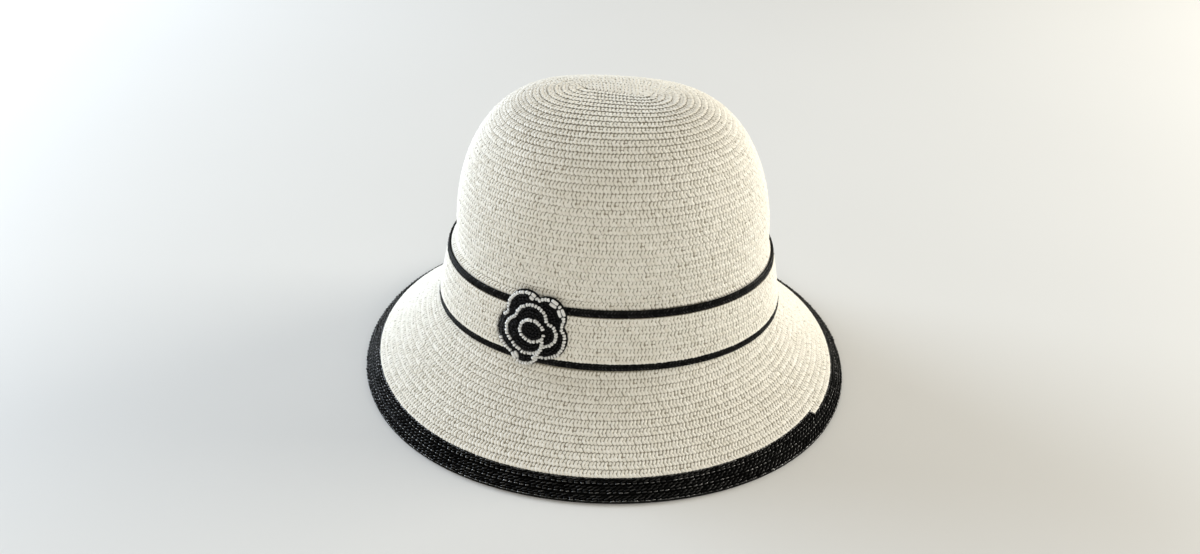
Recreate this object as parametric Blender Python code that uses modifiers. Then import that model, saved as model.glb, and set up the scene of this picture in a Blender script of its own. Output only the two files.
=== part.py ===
# Paper straw cloche hat: sewn crown and brim, black braid edging, straw band, two flat cords
# and a beaded felt flower
# The front of the hat looks along -Y, the wearer's left is +X, and the brim stands on Z = 0

from collections import namedtuple
from math import asin, cos, pi, radians, sin, sqrt, tau

import bmesh
import bpy
from mathutils import Vector

# Driving sizes, in metres

# Sewn straw
STRAW = 0.0016              # thickness of the straw wall
GAP = 0.0003                # clearance between pieces that touch
SEGMENTS = 64               # facets round every ring
OVAL_FULLNESS = 0.016       # how far the ovals stand past ellipses between front and side

# Crown, measured on its outside
TIP_FOLD = 0.0340           # straight fold at the tip where the braid starts
TIP_TURN = radians(15)      # turn of that fold away from the front to back line
TIP_SHIFT = -0.0004         # middle of the tip, behind the brim's middle
DOME_WIDTH = 0.1616         # widest part of the dome, side to side
DOME_LENGTH = 0.1956        # widest part of the dome, front to back
DOME_HEIGHT = 0.0907        # from the widest part up to the tip
DOME_SHIFT = 0.0021         # middle of the widest part, behind the brim's middle
DOME_SQUARENESS = 2.96      # how long the dome keeps its width on the way up
DOME_FLATNESS = 1.95        # how flat the dome is round the tip
FLARE_HEIGHT = 0.0070       # from the widest part down to the wall under the band
HEAD_WIDTH = 0.1630         # top of that wall, side to side
HEAD_LENGTH = 0.2014        # top of that wall, front to back
HEAD_SHIFT = 0.0012         # middle of that wall, behind the brim's middle
WALL_LEAN = radians(12)     # slope of that wall away from upright

# Band and cords, which lie on the wall one under the other
BAND_WIDTH = 0.0283
UPPER_CORD_WIDTH = 0.0048
LOWER_CORD_WIDTH = 0.0042
CORD_THICKNESS = 0.0016
WALL_MARGIN = 0.0012        # bare wall above the upper cord and below the lower one

# Brim
BRIM_WIDTH = 0.2970         # rim to rim, side to side
BRIM_LENGTH = 0.3192        # rim to rim, front to back
BRIM_DROP = 0.0464          # from the foot of the wall down to the rim
RIM_HEIGHT = 0.0016         # top of the rim above the surface that it stands on
SIDE_FALL = 0.70            # below 1 the brim falls steeply first and then flattens
FRONT_FALL = 1.05
BACK_FALL = 0.80

# Black edging, a braid sewn on in lapped rows that wind once round the brim
EDGING_WIDTH = 0.0148       # just before the step where its first row starts
EDGING_STEP = 0.0038        # how much narrower it is just after that step
STEP_ANGLE = radians(56.8)  # place of the step, from +X towards +Y
STEP_LENGTH = 0.0042        # along the rim
EDGING_ROWS = 3
EDGING_LAP = 0.0016         # width tucked under the straw
ROW_SINK = 0.0004           # lower edge of each row under the line of the brim
ROW_STEP = 0.0008           # upper edge of each row under the row above it
FOOT_WIDTH = 0.0024         # flat underside of the rim

# Beaded flower
FLOWER_ANGLE = radians(-25.8)
FLOWER_RISE = 0.0038        # middle of the flower above the middle of the band
FELT_THICKNESS = 0.0008
FELT_MARGIN = 0.0008        # felt that shows outside the beads
BEAD = 0.0024               # thickness of a bead string
OUTER_PAD = 0.0013
MIDDLE_PAD = 0.0012
CENTRE_PAD = 0.0012
PAD_EDGE = 0.55             # height of a pad's rim as a share of its thickness
PAD_CORE = 0.0030           # start of a petal from the middle of the flower
FLOWER_REACH = 0.0234       # longest outer petal, to the middle of its bead string
ROSETTE_REACH = 0.0159      # longest middle petal, to the middle of its bead string
HEART_WIDTH = 0.0156        # bead ring of the centre
HEART_HEIGHT = 0.0132
HEART_TURN = radians(-20)

Section = namedtuple("Section", "half_width half_length centre height")
Petal = namedtuple("Petal", "start end reach start_dip end_dip")

# Petals anticlockwise, angles in degrees from the direction of +Y,
# reach as a share of the longest petal and dips at the ends as shares of it too
OUTER_PETALS = (
    Petal(10, 80, 1.00, 0.795, 0.765),
    Petal(80, 156, 0.965, 0.765, 0.730),
    Petal(156, 239, 0.925, 0.730, 0.850),
    Petal(239, 291, 0.980, 0.850, 0.745),
    Petal(291, 370, 0.955, 0.745, 0.795),
)
MIDDLE_PETALS = (
    Petal(31, 148, 0.950, 0.680, 0.755),
    Petal(148, 221, 0.995, 0.755, 0.905),
    Petal(221, 318, 0.950, 0.905, 0.785),
    Petal(318, 391, 1.00, 0.785, 0.680),
)

# Rings of the straw, as shares of the way up the dome and of the way down the brim
DOME_RINGS = (0.955, 0.88, 0.80, 0.70, 0.59, 0.47, 0.34, 0.18, 0.0)
FLARE_RINGS = (0.5,)
BRIM_RINGS = (0.07, 0.20, 0.42, 0.70)

# Sizes that follow from those above
wall_length = UPPER_CORD_WIDTH + LOWER_CORD_WIDTH + BAND_WIDTH + 2 * (GAP + WALL_MARGIN)
upper_cord_top = WALL_MARGIN
band_top = upper_cord_top + UPPER_CORD_WIDTH + GAP
lower_cord_top = band_top + BAND_WIDTH + GAP
foot_height = RIM_HEIGHT + BRIM_DROP
head_height = foot_height + wall_length * cos(WALL_LEAN)
dome_base = head_height + FLARE_HEIGHT
flower_seat = GAP + max(CORD_THICKNESS, STRAW) + GAP
outer_seat = flower_seat + FELT_THICKNESS + GAP
middle_seat = outer_seat + OUTER_PAD + GAP
centre_seat = middle_seat + MIDDLE_PAD + GAP
felt_reach = FLOWER_REACH + BEAD / 2 + FELT_MARGIN
flower_middle = band_top + BAND_WIDTH / 2 - FLOWER_RISE
step_turn = STEP_LENGTH / (BRIM_WIDTH / 4 + BRIM_LENGTH / 4)
step_end = STEP_ANGLE + step_turn
round_angles = sorted({tau * i / SEGMENTS for i in range(SEGMENTS)} | {STEP_ANGLE, step_end})


# Shape of the straw

def dome_section(up):
    # up runs from 0 at the widest part to 1 at the tip
    spread = cos(up * pi / 2) ** (2 / DOME_SQUARENESS)
    climb = sin(up * pi / 2) ** (2 / DOME_FLATNESS)
    half_width = DOME_WIDTH / 2 * spread
    oval = TIP_FOLD / 2 + ((DOME_LENGTH - DOME_WIDTH - TIP_FOLD) / 2) * spread
    centre = DOME_SHIFT + (TIP_SHIFT - DOME_SHIFT) * climb
    return Section(half_width, half_width + oval, centre, dome_base + DOME_HEIGHT * climb)


def flare_section(down):
    # down runs from 0 at the widest part of the dome to 1 at the top of the wall
    widest = dome_section(0)
    top = wall_section(0)
    swell = down ** 2
    return Section(widest.half_width + (top.half_width - widest.half_width) * swell,
                   widest.half_length + (top.half_length - widest.half_length) * swell,
                   widest.centre + (top.centre - widest.centre) * swell,
                   widest.height + (top.height - widest.height) * down)


def crown_section(height):
    # The flare and the dome by their height, above the wall
    if height < dome_base:
        return flare_section((dome_base - height) / FLARE_HEIGHT)
    climb = min((height - dome_base) / DOME_HEIGHT, 1.0)
    return dome_section(asin(climb ** (DOME_FLATNESS / 2)) * 2 / pi)


def wall_section(distance, lift=0.0):
    # distance is measured down the slope of the wall, lift square to it
    spread = distance * sin(WALL_LEAN) + lift * cos(WALL_LEAN)
    rise = lift * sin(WALL_LEAN) - distance * cos(WALL_LEAN)
    return Section(HEAD_WIDTH / 2 + spread, HEAD_LENGTH / 2 + spread, HEAD_SHIFT,
                   head_height + rise)


def rim_section(inset=0.0, height=RIM_HEIGHT):
    return Section(BRIM_WIDTH / 2 - inset, BRIM_LENGTH / 2 - inset, 0.0, height)


def oval_point(section, angle, turn=0.0, squareness=1.0):
    # An oval drawn at an even distance round a straight fold
    fold = section.half_length - section.half_width
    along = squareness * sin(angle) / sqrt(1 + (squareness ** 2 - 1) * sin(angle) ** 2)
    fullness = 1 + OVAL_FULLNESS * sin(2 * angle) ** 2
    x = (section.half_width * cos(angle) + fold * along * sin(turn)) * fullness
    y = (section.half_width * sin(angle) + fold * along * cos(turn)) * fullness
    return Vector((x, y + section.centre, section.height))


def dome_point(angle, up):
    # Towards the tip the ovals turn with the fold and take on its straight sides
    return oval_point(dome_section(up), angle, TIP_TURN * up ** 3, 1 + 2 * up ** 3)


def brim_point(angle, share):
    # share runs from 0 at the foot of the wall to 1 at the rim
    inner = oval_point(wall_section(wall_length), angle)
    outer = oval_point(rim_section(), angle)
    front = max(0.0, -sin(angle)) ** 2
    back = max(0.0, sin(angle)) ** 2
    fall = SIDE_FALL + (FRONT_FALL - SIDE_FALL) * front + (BACK_FALL - SIDE_FALL) * back
    point = inner.lerp(outer, share)
    point.z = inner.z + (outer.z - inner.z) * share ** fall
    return point


def brim_lift(angle, share, lift):
    # A point above or below the brim, square to its surface
    step = 0.01
    ahead = min(share + step, 1.0)
    along = brim_point(angle, ahead) - brim_point(angle, ahead - step)
    across = brim_point(angle + step, share) - brim_point(angle - step, share)
    return brim_point(angle, share) + along.cross(across).normalized() * lift


def share_from_rim(angle, distance):
    # Walks up the brim from the rim until the distance is used up
    step = 0.002
    share = 1.0
    last = brim_point(angle, share)
    walked = 0.0
    while walked < distance:
        here = brim_point(angle, share - step)
        length = (here - last).length
        if walked + length >= distance:
            return share - step * (distance - walked) / length
        walked += length
        share -= step
        last = here
    return share


def edging_width(angle):
    # The edging narrows by one step as it winds once round the brim
    turn = ((STEP_ANGLE - angle) % tau) / (tau - step_turn)
    return EDGING_WIDTH - EDGING_STEP * min(turn, 1.0)


# Shape of the flower

def flower_turn(across):
    # Angle round the hat for a distance along the band
    middle = wall_section(flower_middle, flower_seat)
    speed = Vector((-middle.half_width * sin(FLOWER_ANGLE),
                    middle.half_length * cos(FLOWER_ANGLE))).length
    return FLOWER_ANGLE + across / speed


def lean_on_dome():
    # How far the top of the flower leans out where the dome stands out past the felt
    lean = 0.0
    steps = 12
    for step in range(steps + 1):
        up = flower_middle + (felt_reach - flower_middle) * step / steps
        felt = wall_section(flower_middle - up, flower_seat)
        crown = crown_section(max(felt.height, head_height))
        for across in (-felt_reach, 0.0, felt_reach):
            angle = flower_turn(across)
            out = oval_point(crown, angle) - oval_point(felt, angle)
            past = out.x * cos(angle) + out.y * sin(angle) + GAP
            lean = max(lean, past * 2 * felt_reach / (felt_reach + up))
    return lean


flower_lean = lean_on_dome()


def flower_point(across, up, lift):
    # across runs along the band, up the slope of the wall, and lift away from it
    lean = flower_lean * (felt_reach + up) / (2 * felt_reach)
    return oval_point(wall_section(flower_middle - up, lift + lean), flower_turn(across))


def polar_point(radius, angle, lift):
    return flower_point(radius * cos(angle), radius * sin(angle), lift)


def petal_radius(petal, longest, share):
    # Middle line of the bead string, share 0 to 1 from one end of the petal to the other
    dip = petal.start_dip + (petal.end_dip - petal.start_dip) * share
    bulge = petal.reach - (petal.start_dip + petal.end_dip) / 2
    return longest * (dip + bulge * sin(pi * share) ** 0.75)


def flower_radius(angle):
    # Outline of the whole flower, from the outer petals
    degrees_round = (angle * 180 / pi - OUTER_PETALS[0].start) % 360 + OUTER_PETALS[0].start
    for petal in OUTER_PETALS:
        if petal.start <= degrees_round <= petal.end:
            share = (degrees_round - petal.start) / (petal.end - petal.start)
            return petal_radius(petal, FLOWER_REACH, share)
    return FLOWER_REACH


def heart_radius(angle, width, height):
    turned = angle - HEART_TURN
    return 1 / sqrt((2 * cos(turned) / width) ** 2 + (2 * sin(turned) / height) ** 2)


# Building tools

def clear_scene():
    for item in list(bpy.data.objects):
        bpy.data.objects.remove(item, do_unlink=True)


def add_material(name, colour, roughness):
    material = bpy.data.materials.new(name)
    material.use_nodes = True
    shader = material.node_tree.nodes["Principled BSDF"]
    shader.inputs["Base Color"].default_value = (*colour, 1.0)
    shader.inputs["Roughness"].default_value = roughness
    shader.inputs["Metallic"].default_value = 0.0
    material.diffuse_color = (*colour, 1.0)
    return material


def add_object(name, mesh, collection, material):
    piece = bpy.data.objects.new(name, mesh)
    piece.data.materials.append(material)
    collection.objects.link(piece)
    return piece


def finish_mesh(name, shape):
    bmesh.ops.recalc_face_normals(shape, faces=shape.faces[:])
    mesh = bpy.data.meshes.new(name)
    shape.to_mesh(mesh)
    shape.free()
    mesh.shade_smooth()
    mesh.set_sharp_from_angle(angle=radians(35))
    return mesh


def bridge(shape, first, second, closed=True):
    # Quads between two rows of points
    count = len(first)
    for i in range(count if closed else count - 1):
        j = (i + 1) % count
        shape.faces.new((first[i], first[j], second[j], second[i]))


def loft_shell(name, rings):
    # A skin through closed rings, with a flat face over the first one
    shape = bmesh.new()
    rows = [[shape.verts.new(point) for point in ring] for ring in rings]
    for upper, lower in zip(rows, rows[1:]):
        bridge(shape, upper, lower)
    shape.faces.new(rows[0])
    return finish_mesh(name, shape)


def loft_ring(name, sections):
    # A closed ring swept through sections of equal count
    shape = bmesh.new()
    rows = [[shape.verts.new(point) for point in section] for section in sections]
    for here, ahead in zip(rows, rows[1:] + rows[:1]):
        bridge(shape, here, ahead)
    return finish_mesh(name, shape)


def loft_pad(name, columns, closed):
    # A pad from columns of (low, high) points, from its core to its edge
    shape = bmesh.new()
    lows = [[shape.verts.new(low) for low, high in column] for column in columns]
    highs = [[shape.verts.new(high) for low, high in column] for column in columns]
    pairs = len(columns) if closed else len(columns) - 1
    for i in range(pairs):
        j = (i + 1) % len(columns)
        bridge(shape, lows[i], lows[j], closed=False)
        bridge(shape, highs[i], highs[j], closed=False)
        shape.faces.new((lows[i][-1], lows[j][-1], highs[j][-1], highs[i][-1]))
    if closed:
        shape.faces.new([column[0] for column in lows])
        shape.faces.new([column[0] for column in highs])
        return finish_mesh(name, shape)
    for i in range(pairs):
        shape.faces.new((lows[i][0], lows[i + 1][0], highs[i + 1][0], highs[i][0]))
    for low, high in ((lows[0], highs[0]), (lows[-1], highs[-1])):
        bridge(shape, low, high, closed=False)
    return finish_mesh(name, shape)


def add_string(name, points, cyclic, collection, material):
    # A bead string stands as a tube along the middle line of its beads
    curve = bpy.data.curves.new(name, "CURVE")
    curve.dimensions = "3D"
    curve.bevel_depth = BEAD / 2
    curve.bevel_resolution = 1
    curve.use_fill_caps = True
    spline = curve.splines.new("POLY")
    spline.points.add(len(points) - 1)
    for knot, point in zip(spline.points, points):
        knot.co = (*point, 1.0)
    spline.use_cyclic_u = cyclic
    return add_object(name, curve, collection, material)


# Pieces

def make_straw(collection, material):
    rings = [[dome_point(angle, up) for angle in round_angles] for up in DOME_RINGS]
    sections = [flare_section(down) for down in FLARE_RINGS]
    sections += [wall_section(0), wall_section(wall_length)]
    rings += [[oval_point(section, angle) for angle in round_angles] for section in sections]
    edge = [share_from_rim(angle, edging_width(angle)) for angle in round_angles]
    lap = [share_from_rim(angle, edging_width(angle) + EDGING_LAP) for angle in round_angles]
    for ring in BRIM_RINGS:
        rings.append([brim_point(a, ring * share) for a, share in zip(round_angles, lap)])
    for shares in (lap, edge):
        rings.append([brim_point(a, share) for a, share in zip(round_angles, shares)])
    piece = add_object("crown_and_brim", loft_shell("crown_and_brim", rings), collection,
                       material)
    wall = piece.modifiers.new("wall", "SOLIDIFY")
    wall.thickness = STRAW
    wall.offset = -1
    wall.use_even_offset = True


def edging_profile(angle):
    # Outer side from the tuck under the straw down to the rim, then the foot and back up
    width = edging_width(angle)
    row = width / EDGING_ROWS
    tuck = share_from_rim(angle, width + EDGING_LAP)
    points = [brim_lift(angle, tuck, -STRAW - GAP)]
    points.append(brim_lift(angle, share_from_rim(angle, width), -STRAW - GAP))
    for k in range(1, EDGING_ROWS):
        lower = share_from_rim(angle, width - k * row)
        points.append(brim_lift(angle, lower, -ROW_SINK))
        points.append(brim_lift(angle, lower, -ROW_SINK - ROW_STEP))
    points.append(oval_point(rim_section(), angle))
    points.append(oval_point(rim_section(GAP, 0.0), angle))
    points.append(oval_point(rim_section(FOOT_WIDTH, 0.0), angle))
    under = -2 * STRAW - GAP
    points.append(brim_lift(angle, share_from_rim(angle, row + FOOT_WIDTH / 2), under))
    points.append(brim_lift(angle, tuck, under))
    return points


def make_edging(collection, material):
    sections = [edging_profile(angle) for angle in round_angles]
    add_object("brim_edging", loft_ring("brim_edging", sections), collection, material)


def add_wall_ring(name, top, width, profile, collection, material):
    # profile holds (share of the width, lift) round the section of the ring
    corners = [wall_section(top + share * width, lift) for share, lift in profile]
    rings = [[oval_point(corner, angle) for corner in corners] for angle in round_angles]
    add_object(name, loft_ring(name, rings), collection, material)


def make_band(collection, material):
    inner, outer = GAP, GAP + STRAW
    profile = ((0, outer), (1, outer), (1, inner), (0, inner))
    add_wall_ring("hat_band", band_top, BAND_WIDTH, profile, collection, material)


def make_cords(collection, material):
    # Flat braided cords with rounded faces
    inner, outer = GAP, GAP + CORD_THICKNESS
    middle = (inner + outer) / 2
    profile = ((0, middle), (0.2, outer), (0.8, outer), (1, middle), (0.8, inner), (0.2, inner))
    for name, top, width in (("upper_cord", upper_cord_top, UPPER_CORD_WIDTH),
                             ("lower_cord", lower_cord_top, LOWER_CORD_WIDTH)):
        add_wall_ring(name, top, width, profile, collection, material)


def make_backing(collection, material):
    count = 48
    rows = (0.12, 0.55, 1.0)
    columns = []
    for i in range(count):
        angle = tau * i / count
        radius = flower_radius(angle) + BEAD / 2 + FELT_MARGIN
        columns.append([(polar_point(radius * row, angle, flower_seat),
                         polar_point(radius * row, angle, flower_seat + FELT_THICKNESS))
                        for row in rows])
    mesh = loft_pad("flower_backing", columns, closed=True)
    add_object("flower_backing", mesh, collection, material)


def make_petals(kind, petals, longest, seat, thickness, felt, beads, collection):
    # Each petal is a pad with a bead string round its outer edge
    columns_each = 7
    rows = ((0.0, 1.0), (0.5, 1.0), (0.85, 1.0), (1.0, PAD_EDGE))
    string_points = 10
    for number, petal in enumerate(petals, 1):
        start, end = radians(petal.start), radians(petal.end)
        columns = []
        for i in range(columns_each + 1):
            share = i / columns_each
            edge = petal_radius(petal, longest, share) - BEAD / 2 - GAP
            column = []
            for row, height in rows:
                radius = PAD_CORE + (edge - PAD_CORE) * row
                inset = GAP / radius
                angle = start + inset + (end - start - 2 * inset) * share
                column.append((polar_point(radius, angle, seat),
                               polar_point(radius, angle, seat + thickness * height)))
            columns.append(column)
        mesh = loft_pad(f"{kind}_petal_{number}", columns, closed=False)
        add_object(f"{kind}_petal_{number}", mesh, collection, felt)
        inset = (BEAD / 2 + GAP) / (longest * min(petal.start_dip, petal.end_dip))
        points = []
        for i in range(string_points):
            angle = start + inset + (end - start - 2 * inset) * i / (string_points - 1)
            share = (angle - start) / (end - start)
            points.append(polar_point(petal_radius(petal, longest, share), angle,
                                      seat + BEAD / 2))
        add_string(f"{kind}_beads_{number}", points, False, collection, beads)


def make_heart(felt, beads, collection):
    # Round pad in the middle of the flower, inside a closed ring of beads
    count = 20
    rows = ((0.25, 1.0), (0.8, 1.0), (1.0, PAD_EDGE))
    inset = BEAD + 2 * GAP
    columns = []
    points = []
    for i in range(count):
        angle = tau * i / count
        edge = heart_radius(angle, HEART_WIDTH - inset, HEART_HEIGHT - inset)
        columns.append([(polar_point(edge * row, angle, centre_seat),
                         polar_point(edge * row, angle, centre_seat + CENTRE_PAD * height))
                        for row, height in rows])
        ring = heart_radius(angle, HEART_WIDTH, HEART_HEIGHT)
        points.append(polar_point(ring, angle, centre_seat + BEAD / 2))
    mesh = loft_pad("flower_centre", columns, closed=True)
    add_object("flower_centre", mesh, collection, felt)
    add_string("centre_beads", points, True, collection, beads)


def make_hat():
    clear_scene()
    collection = bpy.data.collections.new("straw_cloche_hat")
    bpy.context.scene.collection.children.link(collection)
    straw = add_material("white_paper_straw", (0.80, 0.78, 0.70), 0.60)
    black_braid = add_material("black_braid", (0.012, 0.012, 0.012), 0.35)
    black_cord = add_material("black_cord", (0.016, 0.016, 0.017), 0.55)
    felt = add_material("black_felt", (0.010, 0.010, 0.010), 0.95)
    jet = add_material("black_beadwork", (0.010, 0.010, 0.012), 0.20)
    white_beads = add_material("white_beads", (0.82, 0.82, 0.80), 0.25)
    make_straw(collection, straw)
    make_edging(collection, black_braid)
    make_band(collection, straw)
    make_cords(collection, black_cord)
    make_backing(collection, felt)
    make_petals("outer", OUTER_PETALS, FLOWER_REACH, outer_seat, OUTER_PAD, jet, white_beads,
                collection)
    make_petals("middle", MIDDLE_PETALS, ROSETTE_REACH, middle_seat, MIDDLE_PAD, jet,
                white_beads, collection)
    make_heart(jet, white_beads, collection)


make_hat()
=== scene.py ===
from math import cos, pi, radians, sin, tau

import bpy
import numpy as np
from mathutils import Matrix, Vector


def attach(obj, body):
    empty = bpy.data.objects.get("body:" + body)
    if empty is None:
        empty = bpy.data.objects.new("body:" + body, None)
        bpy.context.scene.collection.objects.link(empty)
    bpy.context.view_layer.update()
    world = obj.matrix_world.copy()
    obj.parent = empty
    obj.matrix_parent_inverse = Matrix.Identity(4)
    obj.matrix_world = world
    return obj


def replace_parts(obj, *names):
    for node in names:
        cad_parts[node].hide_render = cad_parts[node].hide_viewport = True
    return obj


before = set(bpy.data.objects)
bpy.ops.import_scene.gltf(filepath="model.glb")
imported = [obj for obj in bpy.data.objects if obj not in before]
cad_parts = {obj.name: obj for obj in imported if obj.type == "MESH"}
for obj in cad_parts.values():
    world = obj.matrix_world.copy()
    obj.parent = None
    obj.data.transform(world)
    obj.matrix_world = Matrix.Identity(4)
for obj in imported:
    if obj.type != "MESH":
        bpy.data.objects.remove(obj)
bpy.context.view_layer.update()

scene = bpy.context.scene
rng = np.random.default_rng(18)
print("frame loaded")

hat = {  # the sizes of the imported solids, in metres
    "straw": .0016, "gap": .0003, "fullness": .016,
    "tipFold": .0340, "tipTurn": radians(15), "tipShift": -.0004,
    "domeWidth": .1616, "domeLength": .1956, "domeHeight": .0907, "domeShift": .0021,
    "domeSquareness": 2.96, "domeFlatness": 1.95, "flareHeight": .0070,
    "headWidth": .1630, "headLength": .2014, "headShift": .0012, "wallLean": radians(12),
    "bandWidth": .0283, "upperCord": .0048, "lowerCord": .0042, "cordThickness": .0016,
    "wallMargin": .0012, "brimWidth": .2970, "brimLength": .3192, "brimDrop": .0464, "rimHeight": .0016,
    "sideFall": .70, "frontFall": 1.05, "backFall": .80,
    "edgingWidth": .0148, "edgingStep": .0038, "stepAngle": radians(56.8), "stepLength": .0042,
    "edgingRows": 3, "edgingLap": .0016, "footWidth": .0024,
}
net = {  # how finely the shape is worked out
    "dome": 700, "flare": 60, "wall": 40, "pastWall": 1.2, "around": 720, "down": 600, "steps": 400,
    "turn": 1440, "smallTurn": 1e-3, "smallStep": 2e-4,
}
leanOut, leanDown = sin(hat["wallLean"]), cos(hat["wallLean"])
wallLength = (hat["upperCord"] + hat["lowerCord"] + hat["bandWidth"]
              + 2 * (hat["gap"] + hat["wallMargin"]))
upperCordTop = hat["wallMargin"]
bandTop = upperCordTop + hat["upperCord"] + hat["gap"]
lowerCordTop = bandTop + hat["bandWidth"] + hat["gap"]
footHeight = hat["rimHeight"] + hat["brimDrop"]
headHeight = footHeight + wallLength * leanDown
domeBase = headHeight + hat["flareHeight"]
stepTurn = 4 * hat["stepLength"] / (hat["brimWidth"] + hat["brimLength"])


# shape of the straw, as in the solids but for whole arrays of points

def lerp(first, second, share):
    return first + (second - first) * share


def unit(vectors):
    return vectors / np.linalg.norm(vectors, axis=-1, keepdims=True).clip(1e-12)


def walkedAlong(points):
    # distance along a line of points, from its first one
    return np.concatenate([[0], np.linalg.norm(np.diff(points, axis=0), axis=1).cumsum()])


def ovalPoint(section, angle):
    halfWidth, halfLength, centre, height, turn, squareness = section
    fold = halfLength - halfWidth
    along = squareness * np.sin(angle) / np.sqrt(1 + (squareness ** 2 - 1) * np.sin(angle) ** 2)
    full = 1 + hat["fullness"] * np.sin(2 * angle) ** 2
    x = (halfWidth * np.cos(angle) + fold * along * np.sin(turn)) * full
    y = (halfWidth * np.sin(angle) + fold * along * np.cos(turn)) * full + centre
    return np.stack([x, y, height + 0 * x], axis=-1)


def headOval(angle, spread, height):
    # the oval at the top of the wall, wider by the spread on each side
    return ovalPoint([hat["headWidth"] / 2 + spread, hat["headLength"] / 2 + spread, hat["headShift"],
                      height, 0, 1], angle)


def rimOval(angle, inset, height):
    return ovalPoint([hat["brimWidth"] / 2 - inset, hat["brimLength"] / 2 - inset, 0, height, 0, 1],
                     angle)


def crownProfile():
    # sections from the fold at the tip down to the foot of the wall, by distance down the outside
    up = 1 - np.linspace(0, 1, net["dome"]) ** 2
    spread = np.cos(up * pi / 2).clip(0) ** (2 / hat["domeSquareness"])
    climb = np.sin(up * pi / 2).clip(0) ** (2 / hat["domeFlatness"])
    halfWidth = hat["domeWidth"] / 2 * spread
    fold = hat["tipFold"]
    oval = fold / 2 + (hat["domeLength"] - hat["domeWidth"] - fold) / 2 * spread
    centre = lerp(hat["domeShift"], hat["tipShift"], climb)
    dome = np.stack([halfWidth, halfWidth + oval, centre, domeBase + hat["domeHeight"] * climb,
                     hat["tipTurn"] * up ** 3, 1 + 2 * up ** 3])
    headTop = np.array([hat["headWidth"] / 2, hat["headLength"] / 2, hat["headShift"], headHeight, 0, 1])
    down = np.linspace(0, 1, net["flare"])[1:]
    flare = lerp(dome[:, -1:], headTop[:, None], down ** 2)
    flare[3] = lerp(domeBase, headHeight, down)
    reach = np.linspace(0, wallLength * net["pastWall"], net["wall"])[1:]
    wall = headTop[:, None] + reach * np.array([leanOut, leanOut, 0, -leanDown, 0, 0])[:, None]
    table = np.concatenate([dome, flare, wall], axis=1)
    return walkedAlong(table[[0, 3]].T), table


crownWalk, crownTable = crownProfile()
headDistance = crownWalk[net["dome"] + net["flare"] - 2]  # from the tip to the top of the wall


def crownAt(angle, distance):
    section = [np.interp(distance, crownWalk, row) for row in crownTable]
    return ovalPoint(section, angle)


def brimShare(angle, share):
    inner = headOval(angle, wallLength * leanOut, footHeight)
    outer = rimOval(angle, 0, hat["rimHeight"])
    front, back = (-np.sin(angle)).clip(0) ** 2, np.sin(angle).clip(0) ** 2
    fall = (hat["sideFall"] + (hat["frontFall"] - hat["sideFall"]) * front
            + (hat["backFall"] - hat["sideFall"]) * back)
    point = lerp(inner, outer, share[..., None])
    point[..., 2] = lerp(inner[..., 2], outer[..., 2], share.clip(1e-9) ** fall)
    return point


def brimWalks():
    # share of the way down the brim for even distances from the rim, round the hat
    angles = np.linspace(0, tau, net["around"] + 1)
    shares = np.linspace(1, 0, net["down"])
    walked = np.stack([walkedAlong(brimShare(angle + 0 * shares, shares)) for angle in angles])
    steps = np.linspace(0, walked.max(), net["steps"])
    table = np.stack([np.interp(steps, row, shares) for row in walked])
    return steps, table, walked[:, -1]


brimSteps, brimTable, brimSlope = brimWalks()


def footDistance(angle):
    return np.interp(angle % tau, np.linspace(0, tau, net["around"] + 1), brimSlope)


def wallAt(angle, distance, lift):
    # distance down the wall from its top, lift square to it
    return headOval(angle, distance * leanOut + lift * leanDown,
                    headHeight + (lift * leanOut - distance * leanDown))


def brimAt(angle, fromRim):
    column = (angle % tau) / tau * net["around"]
    left = np.floor(column).astype(int).clip(0, net["around"] - 1)
    row = (fromRim / brimSteps[1]).clip(0, net["steps"] - 1.001)
    low = np.floor(row).astype(int)
    nearer, further = [lerp(brimTable[left, line], brimTable[left + 1, line], column - left)
                       for line in (low, low + 1)]
    share = lerp(nearer, further, row - low)
    past = fromRim - footDistance(angle)  # above its foot the braid climbs the wall, under the cord
    onWall = wallAt(angle, wallLength - past.clip(0), 0)
    return np.where((past > 0)[..., None], onWall, brimShare(angle, share))


def edgingWidth(angle):
    turn = ((hat["stepAngle"] - angle) % tau) / (tau - stepTurn)
    return hat["edgingWidth"] - hat["edgingStep"] * np.minimum(turn, 1)


# each surface with the sign of "down the hat" in its distance, and how far its rows lean on the next
crown = {"at": crownAt, "down": 1, "lean": .00032}
brim = {"at": brimAt, "down": -1, "lean": .00021}


def wallSurface(lift):
    return {"at": lambda angle, distance: wallAt(angle, distance, lift), "down": 1, "lean": .00020}


def alongRow(surface, angle, distance):
    turn = net["smallTurn"]
    return surface["at"](angle + turn, distance) - surface["at"](angle - turn, distance)


def outward(surface, angle, distance):
    step = net["smallStep"]
    down = surface["at"](angle, distance + step) - surface["at"](angle, distance - step)
    return unit(np.cross(down * surface["down"], alongRow(surface, angle, distance)))


def lifted(surface, angle, distance, lift):
    return surface["at"](angle, distance) + outward(surface, angle, distance) * lift[..., None]


# meshes

def linked(name, data):
    thing = bpy.data.objects.new(name, data)
    scene.collection.objects.link(thing)
    return thing


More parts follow.
